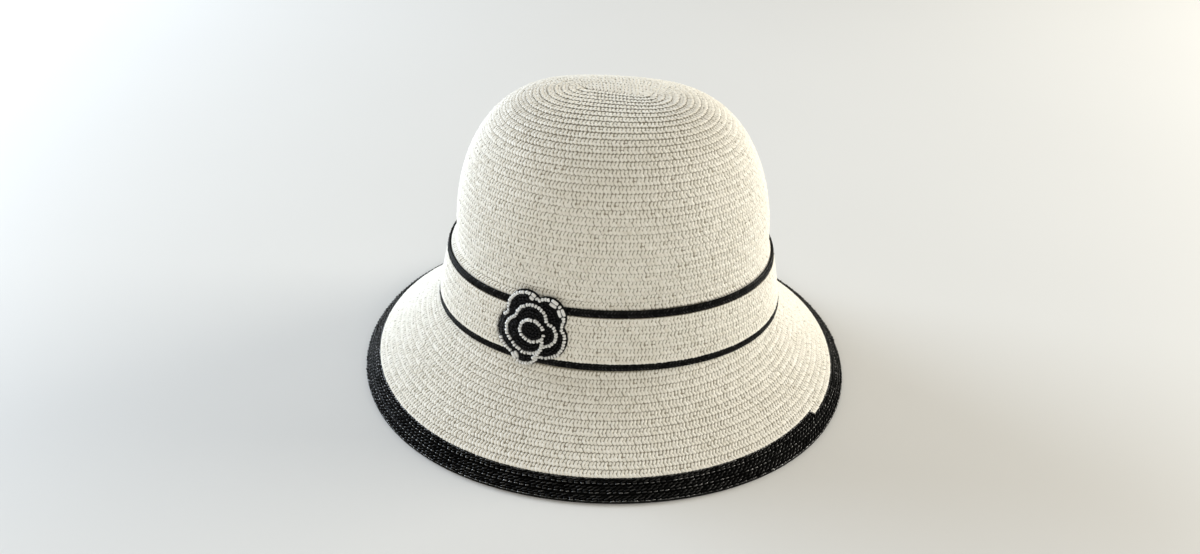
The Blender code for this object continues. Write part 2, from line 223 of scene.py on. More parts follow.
def addMesh(name, part, finish):
    points, quads = np.asarray(part["points"], np.float32), np.asarray(part["quads"], np.int32)
    mesh = bpy.data.meshes.new(name)
    mesh.vertices.add(len(points))
    mesh.vertices.foreach_set("co", points.ravel())
    mesh.loops.add(quads.size)
    mesh.loops.foreach_set("vertex_index", quads.ravel())
    mesh.polygons.add(len(quads))
    mesh.polygons.foreach_set("loop_start", np.arange(0, quads.size, 4, dtype=np.int32))
    layer = mesh.uv_layers.new(name="UVMap")
    layer.data.foreach_set("uv", np.asarray(part["corners"], np.float32)[quads.ravel()].ravel())
    for key in ("tone", "seed"):  # read by the finishes
        mark = mesh.attributes.new(key, "FLOAT", "POINT")
        mark.data.foreach_set("value", np.asarray(part[key], np.float32))
    mesh.update(calc_edges=True)
    mesh.validate()
    mesh.shade_smooth()
    mesh.materials.append(finish)
    piece = linked(name, mesh)
    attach(piece, "root")
    print(f"{name}: {2 * len(quads)} triangles")
    return piece


def joinStrands(name, parts, finish):
    joined = {key: np.concatenate([part[key] for part in parts])
              for key in ("points", "corners", "tone", "seed")}
    shifts = np.cumsum([0] + [len(part["points"]) for part in parts[:-1]])
    joined["quads"] = np.concatenate([part["quads"] + shift for part, shift in zip(parts, shifts)])
    return addMesh(name, joined, finish)


def gridQuads(lines, columns, wrap=False):
    # quads of a grid of points, line after line
    line = np.arange(lines if wrap else lines - 1)[:, None]
    column = np.arange(columns - 1)[None]
    here, ahead = line * columns + column, (line + 1) % lines * columns + column
    return np.stack([here, ahead, ahead + 1, here + 1], -1).reshape(-1, 4)


def crossed(lines, columns):
    # the two values at each point of a grid
    return [grid.ravel() for grid in np.meshgrid(lines, columns, indexing="ij")]


def plainPart(points, quads, corners, tone=0.0):
    # a part with one tone all over
    count = points.size // 3
    return {"points": points.reshape(-1, 3), "quads": quads, "corners": corners.reshape(-1, 2),
            "tone": np.full(count, tone), "seed": np.zeros(count)}


def addRing(name, points, corners, finish, turned=False):
    # a body that closes round, with a line of points for each angle
    quads = gridQuads(*points.shape[:2], wrap=True)
    return addMesh(name, plainPart(points, quads[:, ::-1] if turned else quads, corners), finish)


def many(quads, size, count):
    return (quads[None] + (np.arange(count) * size)[:, None, None]).reshape(-1, quads.shape[1])


# shader tools

class Flow:
    # one output of a shader tree, so that sums on it are written as sums
    def __init__(self, finish, socket):
        self.finish, self.socket = finish, socket

    def maths(self, operation, first, second):
        return self.finish.node("ShaderNodeMath", {"operation": operation}, {0: first, 1: second})

    def __add__(self, other): return self.maths("ADD", self, other)
    def __radd__(self, other): return self.maths("ADD", other, self)
    def __sub__(self, other): return self.maths("SUBTRACT", self, other)
    def __rsub__(self, other): return self.maths("SUBTRACT", other, self)
    def __mul__(self, other): return self.maths("MULTIPLY", self, other)
    def __rmul__(self, other): return self.maths("MULTIPLY", other, self)


class Finish:
    def __init__(self, name):
        self.material = bpy.data.materials.new(name)
        self.material.use_nodes = True
        self.tree = self.material.node_tree
        self.tree.nodes.clear()

    def node(self, kind, settings, sockets, output=0):
        made = self.tree.nodes.new(kind)
        for key, value in settings.items():
            setattr(made, key, value)
        for key, value in sockets.items():
            if isinstance(value, Flow):
                self.tree.links.new(value.socket, made.inputs[key])
            elif isinstance(value, tuple) and made.inputs[key].type == "RGBA":
                made.inputs[key].default_value = (*value, 1)
            else:
                made.inputs[key].default_value = value
        return Flow(self, made.outputs[output])

    def mark(self, name):
        return self.node("ShaderNodeAttribute", {"attribute_name": name}, {}, "Fac")

    def place(self, output="Object"):
        return self.node("ShaderNodeTexCoord", {}, {}, output)

    def noise(self, where, scale, detail=2.0, rough=.5):
        sockets = {"Vector": where, "Scale": scale, "Detail": detail, "Roughness": rough}
        return self.node("ShaderNodeTexNoise", {}, sockets)

    def fibres(self, stretch):
        # streaks along a strand, others in each strand
        seed = self.mark("seed")
        shift = self.node("ShaderNodeCombineXYZ", {}, {0: seed * 31, 1: seed * 17, 2: seed * 7})
        where = self.node("ShaderNodeVectorMath", {"operation": "MULTIPLY_ADD"},
                          {0: self.place("UV"), 1: stretch, 2: shift})
        return self.noise(where, 1.0, 3.0, .6)

    def blend(self, share, first, second):
        sockets = {"Factor": share, 6: first, 7: second}
        return self.node("ShaderNodeMix", {"data_type": "RGBA"}, sockets, 2)

    def bump(self, height, strength, distance):
        sockets = {"Height": height, "Strength": strength, "Distance": distance}
        return self.node("ShaderNodeBump", {}, sockets)

    def done(self, sockets):
        shader = self.node("ShaderNodeBsdfPrincipled", {}, sockets)
        output = self.tree.nodes.new("ShaderNodeOutputMaterial")
        self.tree.links.new(shader.socket, output.inputs["Surface"])
        return self.material


def strawFinish(name, light, shade):
    finish = Finish(name)
    streak = finish.fibres((7.0, 1.2, 1.0))
    patch = finish.noise(finish.place(), 60.0)
    tone = finish.mark("tone") + (streak - .5) * .35 + (patch - .5) * .25
    return finish.done({"Base Color": finish.blend(tone, shade, light), "Roughness": .50 + streak * .25,
                        "Normal": finish.bump(streak, .35, .00025), "Sheen Weight": .08,
                        "Specular IOR Level": .35})


def blackFinish(name, light, shade, rough, level, shine):
    finish = Finish(name)
    tone = finish.mark("tone")
    streak = finish.fibres((8.0, .8, 1.0))
    uv = finish.place("UV")
    across, ahead = [finish.node("ShaderNodeSeparateXYZ", {}, {0: uv}, axis) * 2 - 1
                     for axis in ("X", "Y")]
    bulge = 1 - across * across
    ridge = bulge * bulge * (1 - ahead * ahead)  # the strand's shiny back
    gloss = finish.node("ShaderNodeMath", {"operation": "MULTIPLY", "use_clamp": True},
                        {0: ridge, 1: tone * shine})
    return finish.done({"Base Color": finish.blend(tone + (streak - .5) * .6, shade, light),
                        "Roughness": rough + (streak - .5) * .2, "Coat Weight": gloss, "Coat IOR": 2.4,
                        "Coat Roughness": .18, "Specular IOR Level": level,
                        "Normal": finish.bump(streak, .4, .0003)})


strawLook = {"light": (.955, .927, .85), "shade": (.74, .692, .585)}
# the strips under the strands take the same straw much darkened: painted shade for the depth of the gaps
# between strands and rows
paintedShadeLook = {"light": (.46, .42, .33), "shade": (.29, .26, .20)}
edgingLook = {"light": (.004, .004, .003), "shade": (.001, .001, .001), "rough": .30, "level": .08,
              "shine": 1.0}
plaitLook = {"light": (.005, .005, .005), "shade": (.001, .001, .001), "rough": .40, "level": .06,
             "shine": .24}
strawPaper = strawFinish("paper_straw", **strawLook)
paintedShadeStraw = strawFinish("paper_straw_painted_shade", **paintedShadeLook)
blackStraw = blackFinish("black_straw", **edgingLook)
blackPlait = blackFinish("black_plait", **plaitLook)
print("finishes made")

# braid

rows = {
    "atTip": .0042, "atWall": .00470, "fullAt": 30, "last": 60, "count": 33.1, "brim": 13,
    "cell": .0043, "fromTip": .55, "underCord": .0022, "deepest": 44, "upWall": .0021,
    "topSplit": .082, "brimSplit": .047,
}


def pitchTable():
    # outer edge of each turn of the spiral, as a distance from the tip
    turns = np.linspace(0, rows["last"], 40 * rows["last"] + 1)
    pitch = lerp(rows["atTip"], rows["atWall"], (turns / rows["fullAt"]).clip(0, 1))
    edge = np.concatenate([[0], (pitch[1:] * np.diff(turns)).cumsum()])
    target = headDistance + upperCordTop
    return turns, edge * target / np.interp(rows["count"], turns, edge)


turnTable, turnEdge = pitchTable()
brimPitch = (brimSlope[0] - edgingWidth(0.0)) / rows["brim"]


def crownSpiral(turns):
    outer = np.interp(turns, turnTable, turnEdge)
    inner = np.interp(np.maximum(turns - 1, 0), turnTable, turnEdge)
    return (outer + inner) / 2, outer - inner


def brimSpiral(turns):
    # turns count down to -1, and the last row follows the edging to its step
    outer = hat["edgingWidth"] + np.where(turns > 0, brimPitch, hat["edgingStep"]) * turns
    inner = hat["edgingWidth"] + brimPitch * (turns + 1)
    return (outer + inner) / 2, inner - outer


def walkSpiral(surface, spiral, start, end, cell):
    # even steps along the braid: angle round the hat, distance of its middle and its width
    way = 1 if end > start else -1
    turns = np.linspace(start, end, int(abs(end - start) * net["turn"]) + 2)
    walked = walkedAlong(surface["at"](hat["stepAngle"] - tau * turns * way, spiral(turns)[0]))
    steps = np.arange(cell / 2, walked[-1], cell)
    turns = np.interp(steps, walked, turns)
    middle, width = spiral(turns)
    return {"angle": hat["stepAngle"] - tau * turns * way, "distance": middle, "width": width,
            "walk": steps}


def walkRing(surface, distance, width, cell):
    # the same once round the hat; the distance is a number or a function of the angle
    angle = np.linspace(0, tau, net["turn"] + 1)
    middle = distance(angle) if callable(distance) else distance + 0 * angle
    walked = walkedAlong(surface["at"](angle, middle))
    count = int(walked[-1] / cell)
    steps = (np.arange(count) + rng.random()) * walked[-1] / count
    return {"angle": np.interp(steps, walked, angle), "distance": np.interp(steps, walked, middle),
            "width": np.full(count, width), "walk": steps}


def keep(path, chosen):
    return {key: values[chosen] for key, values in path.items()}


# a strand's ends lie in metres round the hat, and up its row from -1 at the lower edge to 1 at the upper
usualStrand = {
    "loose": .00010, "taper": .45, "bow": 0, "arch": 4, "inside": False,
    "toneSpread": .12, "halfSpread": .08, "crownSpread": .15, "liftSpread": .00003,
}


def strands(surface, path, kind, across=4, along=5):
    # one strand for each step of the path
    kind = {**usualStrand, "tilt": surface["lean"], **kind}
    angle, distance, half = path["angle"], path["distance"], path["width"] / 2
    count, size = len(angle), across * along
    speed = np.linalg.norm(alongRow(surface, angle, distance), axis=1) / (2 * net["smallTurn"])

    def end(place):
        return (place[0] + rng.normal(0, kind["loose"], count),
                place[1] * half + rng.normal(0, kind["loose"], count))

    (u0, v0), (u1, v1) = end(kind["start"]), end(kind["end"])
    if "open" in kind:  # some strands start later and leave a hole
        late = rng.random(count) < kind["open"]
        v0 = np.where(late, kind["openStart"] * half, v0)
        u0 = np.where(late, lerp(u0, u1, .3), u0)
    broad = kind["half"] * rng.normal(1, kind["halfSpread"], count)
    ahead, aside = crossed(np.linspace(0, 1, along), np.linspace(-1, 1, across))
    fromMiddle = np.abs(2 * ahead - 1)
    length = np.hypot(u1 - u0, v1 - v0)
    du, dv = (u1 - u0) / length, (v1 - v0) / length
    side = (aside * (1 - kind["taper"] * fromMiddle ** 3) * broad[:, None]
            + kind["bow"] * (1 - fromMiddle ** 2) * length[:, None])
    u = lerp(u0[:, None], u1[:, None], ahead) - side * dv[:, None]
    v = lerp(v0[:, None], v1[:, None], ahead) + side * du[:, None]
    relief = kind["crown"] * rng.normal(1, kind["crownSpread"], count)
    lift = (kind["base"] + rng.normal(0, kind["liftSpread"], count)[:, None]
            + relief[:, None] * (1 - np.abs(aside) ** 2.2))
    dive = np.where(ahead < .5, *kind["dive"]) * fromMiddle ** kind["arch"]
    lift = lift - dive - kind["tilt"] * v / half[:, None]
    if kind["inside"]:
        lift = -hat["straw"] - lift
    points = (surface["at"](angle[:, None] + u / speed[:, None], distance[:, None] - surface["down"] * v)
              + outward(surface, angle, distance)[:, None] * lift[..., None])
    quads = gridQuads(along, across)
    return {"points": points.reshape(-1, 3),
            "quads": many(quads if kind["inside"] else quads[:, ::-1], size, count),
            "corners": np.tile(np.stack([(aside + 1) / 2, ahead], -1), (count, 1)),
            "tone": np.repeat(rng.normal(kind["tone"], kind["toneSpread"], count), size),
            "seed": np.repeat(rng.random(count), size)}


# one cell of the white braid: two narrow strands that rise and two broad ones that fall
# the rising strands' higher tone than the falling ones is a painted highlight
rising = {"half": .00084, "crown": .00046, "base": -.00026, "dive": (.00026, .00050), "tone": .88,
          "bow": .05}
falling = {"half": .00096, "crown": .00040, "base": -.00026, "dive": (.00036, .00026), "tone": .80,
           "bow": -.05, "taper": .35}
straws = [
    {"start": (-.00085, -.16), "end": (.00055, .98), **rising},
    {"start": (.00125, -.16), "end": (.00265, .98), "open": .30, "openStart": .15, **rising},
    {"start": (-.00100, .16), "end": (.00075, -.98), **falling},
    {"start": (.00098, .16), "end": (.00270, -.98), "open": .30, "openStart": -.12, **falling},
]
# the same braid from the inside, and the smooth edge of a row that lies open
hidden = {"half": .00100, "crown": .00034, "base": -.00012, "dive": (.00012, .00014), "tilt": 0.0,
          "tone": .66, "inside": True}
insideStraws = [{"start": (-.00110, .05), "end": (.00060, 1.04), **hidden},
                {"start": (-.00060, -.02), "end": (.00110, -1.04), **hidden}]
selvage = {"start": (-.00105, .2), "end": (.00105, -.2), "half": .00036, "crown": .00030,
           "base": -.00012, "dive": (.00026, .00026), "tilt": 0.0, "tone": .97, "toneSpread": .05,
           "loose": .00007}
openEdge = {"width": .0009, "pitch": .0021, "overBlack": .0003, "inBand": .0004}


def selvageRing(surface, distance):
    return walkRing(surface, distance, openEdge["width"], openEdge["pitch"])


def braid(name, surface, path, edges=()):
    parts = [strands(surface, path, kind) for kind in straws]
    parts += [strands(surface, edge, selvage, 4, 4) for edge in edges]
    return joinStrands(name, parts, strawPaper)


# strips under the strands: how far their three lines lap over and lie below
ground = {"laps": (1.10, 0.0, -1.04), "outside": (-.00062, -.00040, -.00042),
          "inside": (-.00132, -.00148, -.00150), "widestStep": 1.5 * rows["cell"]}


def baseStrips(surface, path, closed=False):
    laps = np.array(ground["laps"])
    angle = path["angle"][:, None] + 0 * laps
    distance = path["distance"][:, None] - surface["down"] * laps * path["width"][:, None] / 2
    quads = gridQuads(*angle.shape, wrap=closed)
    if not closed:  # no strip across a stretch that was left out
        quads = quads[np.repeat(np.diff(path["walk"]) < ground["widestStep"], 2)]
    corners = np.stack(np.broadcast_arrays(path["walk"][:, None] / rows["cell"], (laps + 1) / 2), -1)
    return [plainPart(lifted(surface, angle, distance, np.array(ground[side])), faces, corners, .5)
            for side, faces in (("outside", quads), ("inside", quads[:, ::-1]))]


crownPath = walkSpiral(crown, crownSpiral, rows["fromTip"], rows["count"] + 1.2, rows["cell"])
crownPath = keep(crownPath, crownPath["distance"] < headDistance + upperCordTop + rows["underCord"])
topRows = crownPath["distance"] < rows["topSplit"]
braid("straw_crown_top", crown, keep(crownPath, topRows))
braid("straw_crown_side", crown, keep(crownPath, ~topRows))

brimPath = walkSpiral(brim, brimSpiral, rows["brim"] + 1.8, -1, rows["cell"])
brimPath = keep(brimPath, brimPath["distance"] < footDistance(brimPath["angle"]) + rows["upWall"])
innerRows = brimPath["distance"] > rows["brimSplit"]
braid("straw_brim_inner", brim, keep(brimPath, innerRows))
border = selvageRing(brim, lambda angle: edgingWidth(angle) + openEdge["overBlack"])
braid("straw_brim_outer", brim, keep(brimPath, ~innerRows), [border])

# the wall behind the band, bare outside
wallPath = walkSpiral(crown, crownSpiral, rows["count"] + .8, rows["deepest"], rows["cell"])
wallPath = keep(wallPath, wallPath["distance"] < headDistance + wallLength)
shell = ((crown, crownPath), (crown, wallPath), (brim, brimPath))
strips = sum([baseStrips(surface, path) for surface, path in shell], [])
# the strips' darkened straw is painted shade where the gaps between strands show them
base = joinStrands("straw_base", strips, paintedShadeStraw)
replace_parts(base, "crown_and_brim")
lining = [strands(surface, path, kind, 3, 3) for surface, path in shell for kind in insideStraws]
joinStrands("straw_inside", lining, strawPaper)

bandRows = 6
band = wallSurface(hat["gap"] + hat["straw"])
bandPitch = hat["bandWidth"] / bandRows
bandRings = [walkRing(band, bandTop + (row + .5) * bandPitch, bandPitch, rows["cell"])
             for row in range(bandRows)]
bandEdges = [selvageRing(band, bandTop + away)
             for away in (openEdge["inBand"], hat["bandWidth"] - openEdge["inBand"])]
everyRing = {key: np.concatenate([ring[key] for ring in bandRings]) for key in bandRings[0]}
braid("straw_band", band, everyRing, bandEdges)
bandStrips = sum([baseStrips(band, ring, closed=True) for ring in bandRings], [])
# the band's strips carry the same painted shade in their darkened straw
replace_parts(joinStrands("straw_band_base", bandStrips, paintedShadeStraw), "hat_band")
print("straw laid")

# black edging

edging = {
    "cell": .0033, "base": -.0010, "bevel": .0008, "topInset": .0012, "thinnest": .0002, "around": 480,
    "edgeWidth": .0009, "edgePitch": .0022, "rimInset": .0005, "borderInset": .0006,
    "wallPitch": .0023, "wallDown": .0006, "wallLean": .0002,
}


def edgingSpiral(turns):
    # three rows before the step and two after it, each thinner towards the rim
    narrow = hat["edgingWidth"] - hat["edgingStep"]
    edges = [hat["edgingWidth"], narrow, narrow / 2, 1e-5, 0]
    upper, lower = np.interp(turns, range(5), edges), np.interp(turns + 1, range(5), edges)
    return (upper + lower) / 2, (upper - lower).clip(edging["thinnest"])


def edgingBody():
    # the rim's own body under the rows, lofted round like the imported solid
    angle = np.linspace(0, tau, edging["around"] + 1)[:-1]
    angle = np.sort(np.concatenate([angle, [hat["stepAngle"], hat["stepAngle"] + stepTurn]]))
    width = edgingWidth(angle)
    tuck = -hat["straw"] - hat["gap"]
    under = tuck - hat["straw"]
    lap, foot = hat["edgingLap"], hat["footWidth"]

    def at(distance, lift):
        return lifted(brim, angle, distance, lift + 0 * angle)

    sections = [
        at(width + lap, tuck), at(width, tuck), at(width - edging["bevel"], edging["base"]),
        at(edging["topInset"] + 0 * width, edging["base"]),
        rimOval(angle, .0006, hat["rimHeight"] - .0001), rimOval(angle, .0001, .0012),
        rimOval(angle, hat["gap"], .0004), rimOval(angle, .0007, 0), rimOval(angle, foot, 0),
        at(width / hat["edgingRows"] + foot / 2, under), at(width + lap, under),
    ]
    points = np.stack(sections + sections[:1], 1)
    corners = np.stack(np.broadcast_arrays(angle[:, None] * 60, np.linspace(0, 4, points.shape[1])), -1)
    body = addRing("edging_body", points, corners, blackStraw, turned=True)
    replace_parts(body, "brim_edging")


edgingBody()
dull = {"half": .00050, "crown": .00054, "base": -.00030, "dive": (.00062, .00062), "arch": 2,
        "tilt": .00022, "tone": .17, "toneSpread": .18, "taper": .3}
blackStrands = [
    {"start": (-.00160, .28), "end": (.00160, .76), **dull},
    {"start": (-.00050, -.34), "end": (.00270, .14), **dull},
    {"start": (-.00025, -.78), "end": (.00225, -.70), "half": .00046, "crown": .00048, "base": .00004,
     "dive": (.00060, .00060), "arch": 2, "tilt": .00012, "tone": .72, "toneSpread": .45,
     "loose": .00012},
]
blackEdge = {"start": (-.0012, .1), "end": (.0012, -.1), "half": .00046, "crown": .00040,
             "base": -.00020, "dive": (.00046, .00046), "arch": 2, "tilt": 0.0, "tone": .40,
             "toneSpread": .40, "loose": .00008}


def rimWall(angle, distance):
    # the upright outside of the rim, by distance down from its top
    inset = edging["rimInset"] - edging["wallLean"] * (distance / edging["bevel"]).clip(0, 1)
    return rimOval(angle, inset, hat["rimHeight"] - distance)


outside = {"at": rimWall, "down": 1, "lean": 0.0}
blackPath = walkSpiral(brim, edgingSpiral, 0, 2.9, edging["cell"])
blackParts = [strands(brim, blackPath, kind) for kind in blackStrands]
for surface, distance, pitch in (
        (brim, edging["rimInset"], edging["edgePitch"]),
        (brim, lambda angle: edgingWidth(angle) - edging["borderInset"], edging["edgePitch"]),
        (outside, edging["wallDown"], edging["wallPitch"])):
    ring = walkRing(surface, distance, edging["edgeWidth"], pitch)
    blackParts.append(strands(surface, ring, blackEdge, 3, 4))
joinStrands("edging_braid", blackParts, blackStraw)
print("edging laid")

# cords

plait = {"cell": .0019, "sides": 14, "around": 360, "squareness": .6, "side": .97, "bodySink": .00015}
plaitStrand = {"half": .00060, "bow": .08, "crown": .00046, "base": -.00016, "dive": (.0003, .0003),
               "tilt": 0.0, "tone": .5, "toneSpread": .35, "loose": .00005}


def cord(name, top, width):
    # rounded body and two columns of strands that meet along its middle
    angle = np.linspace(0, tau, plait["around"] + 1)[:-1]
    turn = np.linspace(0, tau, plait["sides"] + 1)
    inner, outer = hat["gap"], hat["gap"] + hat["cordThickness"] - plait["bodySink"]
    across, out = [np.sign(wave) * np.abs(wave) ** plait["squareness"]
                   for wave in (np.cos(turn), np.sin(turn))]
    around, spot = np.meshgrid(angle, np.arange(len(turn)), indexing="ij")
    points = wallAt(around, top + width / 2 + across[spot] * width / 2 * plait["side"],
                    (inner + outer) / 2 + out[spot] * (outer - inner) / 2)
    corners = np.stack([around * 80, spot / plait["sides"]], -1)
    body = addRing(name + "_body", points, corners, blackPlait)
    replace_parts(body, name)
    surface = wallSurface(outer)
    parts = []
    for middle, way in ((.25, 1), (.75, -1)):
        strand = {"start": (-.0010, -1.0 * way), "end": (.0010, .95 * way), **plaitStrand}
        path = walkRing(surface, top + width * middle, width / 2, plait["cell"])
        parts.append(strands(surface, path, strand, 3, 4))
    joinStrands(name + "_plait", parts, blackPlait)


cord("upper_cord", upperCordTop, hat["upperCord"])
cord("lower_cord", lowerCordTop, hat["lowerCord"])
print("cords laid")

# flower

flower = {
    "angle": radians(-25.8), "rise": .0038, "feltThickness": .0008, "bead": .0024,
    "outerPad": .0013, "middlePad": .0012, "centrePad": .0012,
    "reach": .0234, "rosette": .0159, "heartWidth": .0150, "heartHeight": .0128,
    "heartTurn": radians(-20), "squeeze": .925, "rosetteShift": .0008, "heartShift": .0021,
    "feltMargin": .0004,
    # each petal: first and last angle, reach, and how deep the line dips at its two ends
    "outer": ((10, 80, 1.00, .795, .765), (80, 156, .965, .765, .730), (156, 239, .925, .730, .850),
              (239, 291, .980, .850, .745), (291, 370, .955, .745, .795)),
    "middle": ((31, 148, .950, .680, .755), (148, 221, .995, .755, .905),
               (221, 318, .950, .905, .785), (318, 391, 1.00, .785, .680)),
}
halfBead = flower["bead"] / 2
flowerSeat = hat["gap"] + max(hat["cordThickness"], hat["straw"]) + hat["gap"]
outerSeat = flowerSeat + flower["feltThickness"] + hat["gap"]
middleSeat = outerSeat + flower["outerPad"] + hat["gap"]
centreSeat = middleSeat + flower["middlePad"] + hat["gap"]
flowerMiddle = bandTop + hat["bandWidth"] / 2 - flower["rise"]
flowerOut = flowerMiddle * leanOut + flowerSeat * leanDown
flowerSpeed = np.hypot((hat["headWidth"] / 2 + flowerOut) * sin(flower["angle"]),
                       (hat["headLength"] / 2 + flowerOut) * cos(flower["angle"]))


def flowerPoint(across, up, lift):
    return wallAt(flower["angle"] + across * flower["squeeze"] / flowerSpeed, flowerMiddle - up, lift)


def roundFlower(angle, radius, lift, shift=0.0):
    return flowerPoint(shift + radius * np.cos(angle), radius * np.sin(angle), lift)


def petalRadius(petal, longest, share):
    start, end, reach, startDip, endDip = petal
    rise = (reach - (startDip + endDip) / 2) * np.sin(pi * share) ** .75
    return longest * (lerp(startDip, endDip, share) + rise)


def outlineRadius(petals, longest, angle):
    first = petals[0][0]
    turned = (np.degrees(angle) - first) % 360 + first
    radius = np.zeros_like(turned)
    for petal in petals:
        here = (turned >= petal[0]) & (turned <= petal[1])
        share = (turned - petal[0]) / (petal[1] - petal[0])
        radius = np.where(here, petalRadius(petal, longest, share.clip(0, 1)), radius)
    return radius


def flowerEdge(angle):
    return outlineRadius(flower["outer"], flower["reach"], angle)


def rosetteEdge(angle):
    # the middle ring's line, which stands a little to one side of the flower's middle
    shift = flower["rosetteShift"] * np.cos(angle)
    return outlineRadius(flower["middle"], flower["rosette"], angle) + shift


def heartRadius(angle, shrink=0.0):
    turned = angle - flower["heartTurn"]
    width, height = flower["heartWidth"] - shrink, flower["heartHeight"] - shrink
    return 1 / np.sqrt((2 * np.cos(turned) / width) ** 2 + (2 * np.sin(turned) / height) ** 2)


def heartBeyond(angle):
    # the heart's line as the middle ring sees it
    return heartRadius(angle) + (flower["heartShift"] - flower["rosetteShift"]) * np.cos(angle)


beads = {
    "pitch": .00184, "width": .00222, "length": .00136, "wobble": .20, "stray": .00013, "hole": .30,
    "lengthSpread": .00008, "widthSpread": .00010, "tone": .7, "toneSpread": .15,
    "longWidth": .0020, "longLength": .86, "longSides": (-.0004, .0020), "longWobble": .03,
    "tailLift": .0012,
}
jets = {"pitch": .00158, "width": .00190, "length": .00140, "row": .00182, "lift": .0003, "wobble": .18,
        "stray": .00012, "spread": .0001, "rows": 6, "clear": .0016, "bugleRows": 2, "bugleClear": 3,
        "outerSink": .00025, "fewest": 6, "heartRows": 3}


def beadShape(sides, rings):
    # round pierced bead along x, one unit long and wide, from its profile
    turn = np.linspace(0, tau, rings + 1)[:-1] + pi / rings
    middle, thick = (1 + beads["hole"]) / 4, (1 - beads["hole"]) / 4
    x = np.cos(turn) / 2
    radius = middle + np.sin(turn) * thick
    around, ring = crossed(np.linspace(0, tau, sides + 1)[:-1], np.arange(rings))
    points = np.stack([x[ring], radius[ring] * np.cos(around), radius[ring] * np.sin(around)], -1)
    side, ring = np.arange(sides)[:, None], np.arange(rings)[None]
    ahead, beyond = (side + 1) % sides * rings, (ring + 1) % rings
    quads = np.stack([side * rings + ring, ahead + ring, ahead + beyond, side * rings + beyond], -1)
    return points, quads.reshape(-1, 4)


seedBead, jetBead = beadShape(12, 8), beadShape(8, 6)


def placeBeads(shape, centres, axes, normals, lengths, widths, wobble):
    points, quads = shape
    count, size = len(centres), len(points)
    axes = unit(axes + rng.normal(0, wobble, (count, 3)))
    side = unit(np.cross(normals, axes))
    up = np.cross(axes, side)
    spots = centres[:, None]
    for i, direction, scale in ((0, axes, lengths), (1, side, widths), (2, up, widths)):
        spots = spots + points[None, :, i, None] * (direction * scale[:, None])[:, None]
    return {"points": spots.reshape(-1, 3), "quads": many(quads, size, count),
            "corners": np.zeros((count * size, 2)),
            "tone": np.repeat(rng.normal(beads["tone"], beads["toneSpread"], count), size),
            "seed": np.repeat(rng.random(count), size)}


def alongOutline(angles, radii, lift, pitch, closed=False, shift=0.0):
    # even places on a line round the flower's middle, with its direction, the face's normal and degrees
    line = roundFlower(angles, radii, lift + 0 * angles, shift)
    walked = walkedAlong(line)
    count = max(1, int(round(walked[-1] / pitch)))
    steps = (np.arange(count) + (0 if closed else .5)) / count * walked[-1]

    def at(steps):
        return np.stack([np.interp(steps, walked, line[:, i]) for i in range(3)], 1)

    centre, here = at(steps), np.interp(steps, walked, angles)
    over = roundFlower(here, np.interp(steps, walked, radii), lift + .001 + 0 * here, shift)
    axis = at(steps + net["smallStep"]) - at(steps - net["smallStep"])
    return centre, unit(axis), unit(over - centre), np.degrees(here)


def whiteString(name, node, angles, radii, seat, closed=False, bugles=(), bare=(0, 0), shift=0.0):
    places = alongOutline(angles, radii, seat + halfBead, beads["pitch"], closed, shift)
    shown = (places[3] < bare[0]) | (places[3] > bare[1])
    centre, axis, normal, degrees = [values[shown] for values in places]
    count = len(centre)
    lengths = rng.normal(beads["length"], beads["lengthSpread"], count)
    widths = rng.normal(beads["width"], beads["widthSpread"], count)
    centre = centre + rng.normal(0, beads["stray"], (count, 3))
    longBeads = [(degrees > low) & (degrees < high) for low, high in bugles]
    short = ~np.any([np.zeros(count, bool), *longBeads], axis=0)
    parts = [placeBeads(seedBead, centre[short], axis[short], normal[short], lengths[short],
                        widths[short], beads["wobble"])]
    # where the string has long beads, they lie in pairs
    for chosen in longBeads:
        places = np.flatnonzero(chosen)
        for pair in np.array_split(places, max(1, len(places) // 2)):
            middle, along, up = centre[pair].mean(0), axis[pair].mean(0), normal[pair].mean(0)
            length = len(pair) * beads["pitch"] * beads["longLength"]
            for side in beads["longSides"]:
                spot = middle + np.cross(up, along) * side
                sizes = np.array([[length], [beads["longWidth"]]])
                parts.append(placeBeads(seedBead, spot[None], along[None], up[None], *sizes,
                                        beads["longWobble"]))
    piece = joinStrands(name, parts, whiteGlass)
    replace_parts(piece, node)


def jetRows(name, ring):
    # rows of black beads that follow each petal's line inwards
    parts = []
    share = np.linspace(0, 1, 60)
    lift = ring["seat"] + ring["pad"] + jets["lift"]
    for number, petal in enumerate(ring["petals"], 1):
        start, end = radians(petal[0]), radians(petal[1])
        angle = lerp(start, end, share)
        edge = petalRadius(petal, ring["longest"], share)
        for row in range(jets["rows"]):
            radius = edge - halfBead - jets["width"] / 2 - row * jets["row"]
            room = jets["width"] / 2 / radius.clip(.001)
            beyond = radius > ring["inner"](angle) + jets["clear"]
            free = beyond & (angle > start + room) & (angle < end - room)
            if free.sum() < jets["fewest"]:
                continue
            sink = jets["outerSink"] if row == 0 else 0
            *places, degrees = alongOutline(angle[free], radius[free], lift - sink, jets["pitch"],
                                            shift=ring["shift"])
            clear = np.ones(len(degrees), bool)
            for first, last in ring["bugles"].get(number, ()) if row < jets["bugleRows"] else ():
                clear &= (degrees < first - jets["bugleClear"]) | (degrees > last + jets["bugleClear"])
            centre, axis, normal = [values[clear] for values in places]
            centre = centre + rng.normal(0, jets["stray"], centre.shape)
            sizes = [rng.normal(jets[key], jets["spread"], len(centre)) for key in ("length", "width")]
            parts.append(placeBeads(jetBead, centre, axis, normal, *sizes, jets["wobble"]))
    nodes = [f"{name}_petal_{number + 1}" for number in range(len(ring["petals"]))]
    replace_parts(joinStrands(name + "_jet", parts, jetGlass), *nodes)


